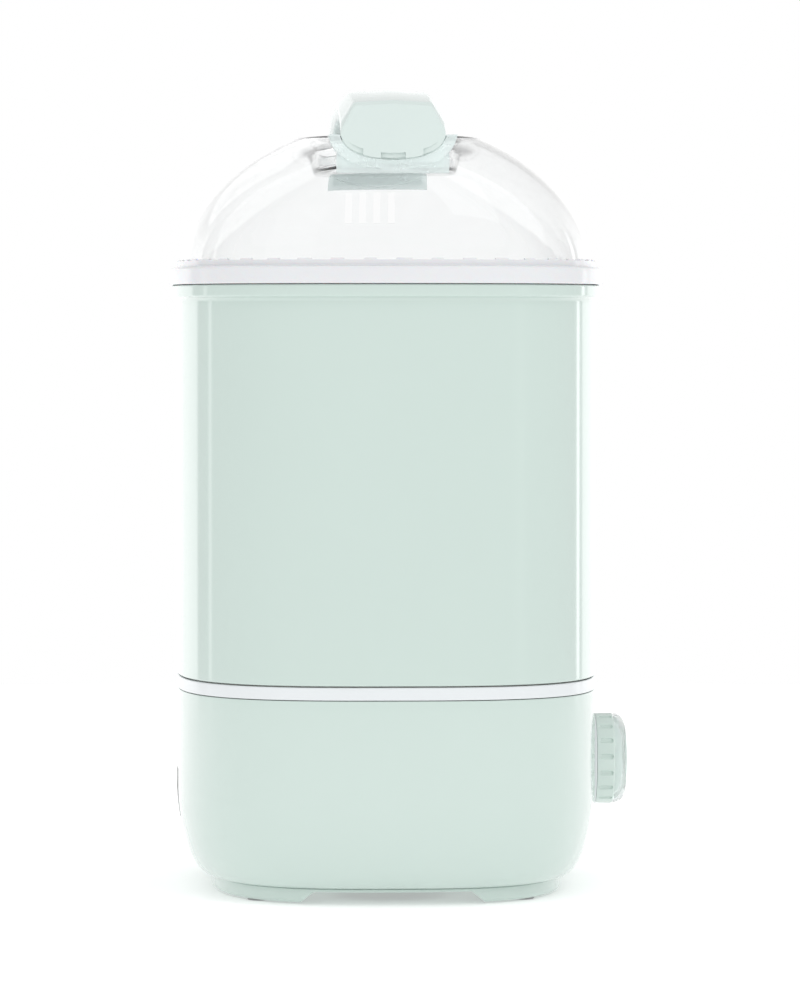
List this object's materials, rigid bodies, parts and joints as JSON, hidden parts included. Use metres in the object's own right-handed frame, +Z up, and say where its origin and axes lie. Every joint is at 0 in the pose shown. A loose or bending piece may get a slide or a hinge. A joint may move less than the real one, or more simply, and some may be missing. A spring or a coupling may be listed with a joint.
{
  "type": "baby bottle steam steriliser and dryer",
  "caption": "Electric steam steriliser and dryer for baby bottles: base unit with knob, tall sleeve, racks and a clear vaulted lid with an arched handle.",
  "frame": {"origin": "middle of the floor face of the overall box, on the surface that the feet stand on", "axes": "+Z up, -Y towards the front with the control knob, X along the long side and the handle"},
  "size_m": [0.2764, 0.2128, 0.3676],
  "materials": {
    "mint_plastic": "glossy mint-green moulded plastic",
    "white_plastic": "satin cool white moulded plastic",
    "chamber_plastic": "fine matt warm white plastic",
    "clear_plastic": "clear glossy plastic",
    "lens_plastic": "smoked translucent plastic",
    "foot_rubber": "grey rubber",
    "seal_silicone": "translucent white silicone",
    "steel": "bright steel",
    "aluminium": "cast and rolled aluminium",
    "plate_coating": "dark non-stick coating with fine speckle",
    "black_plastic": "black moulded plastic",
    "filter_paper": "pleated filter paper",
    "circuit_board": "green circuit board"
  },
  "bodies": {
    "base": {"base_housing": "mint_plastic", "bottom_cover": "mint_plastic", "base_trim_ring": "white_plastic", "base_deck": "chamber_plastic", "foot_pad_back_left": "foot_rubber", "foot_pad_back_right": "foot_rubber", "foot_pad_front_left": "foot_rubber", "foot_pad_front_right": "foot_rubber", "cover_screw_back_left": "steel", "cover_screw_back_right": "steel", "cover_screw_front_left": "steel", "cover_screw_front_right": "steel", "heating_plate": "plate_coating", "plate_seal": "seal_silicone", "plate_clamp": "steel", "heating_element": "aluminium", "thermostat": "black_plastic", "thermal_fuse": "chamber_plastic", "fan_housing": "black_plastic", "fan_motor": "steel", "air_duct": "white_plastic", "air_heater": "aluminium", "air_outlet_grille": "white_plastic", "filter_holder": "white_plastic", "power_inlet": "black_plastic", "power_board": "circuit_board", "control_board": "circuit_board", "rotary_encoder": "black_plastic", "indicator_lens": "lens_plastic", "knob_escutcheon": "white_plastic"},
    "sleeve": {"body_sleeve": "mint_plastic"},
    "rack": {"bottle_rack": "white_plastic"},
    "tray": {"accessory_tray": "white_plastic"},
    "lid": {"lid_rim": "white_plastic", "lid_dome": "clear_plastic", "lid_handle": "mint_plastic"},
    "knob": {"knob_grip": "mint_plastic", "knob_bezel": "white_plastic", "knob_cap": "mint_plastic", "encoder_shaft": "steel"},
    "impeller": {"fan_impeller": "black_plastic"},
    "filter": {"hepa_filter": "filter_paper"},
    "filter_door": {"filter_cover": "mint_plastic"}
  },
  "joints": [
    {"name": "sleeve_lift", "type": "slide", "parent": "base", "child": "sleeve", "axis": [0, 0, 1], "range_m": [0, 0.1]},
    {"name": "rack_lift", "type": "slide", "parent": "sleeve", "child": "rack", "axis": [0, 0, 1], "range_m": [0, 0.2]},
    {"name": "tray_lift", "type": "slide", "parent": "rack", "child": "tray", "axis": [0, 0, 1], "range_m": [0, 0.06]},
    {"name": "lid_lift", "type": "slide", "parent": "tray", "child": "lid", "axis": [0, 0, 1], "range_m": [0, 0.12]},
    {"name": "knob_turn", "type": "hinge", "parent": "base", "child": "knob", "pos_m": [0, -0.08995, 0.057], "axis": [0, 1, 0], "range_deg": [0, 270]},
    {"name": "fan_spin", "type": "hinge", "parent": "base", "child": "impeller", "pos_m": [-0.072, 0.00665, 0.0446], "axis": [0, 0, 1], "continuous": true},
    {"name": "filter_slide", "type": "slide", "parent": "base", "child": "filter", "axis": [0, 1, 0], "range_m": [0, 0.05]},
    {"name": "filter_cover_slide", "type": "slide", "parent": "filter", "child": "filter_door", "axis": [0, 1, 0], "range_m": [0, 0.03]}
  ]
}
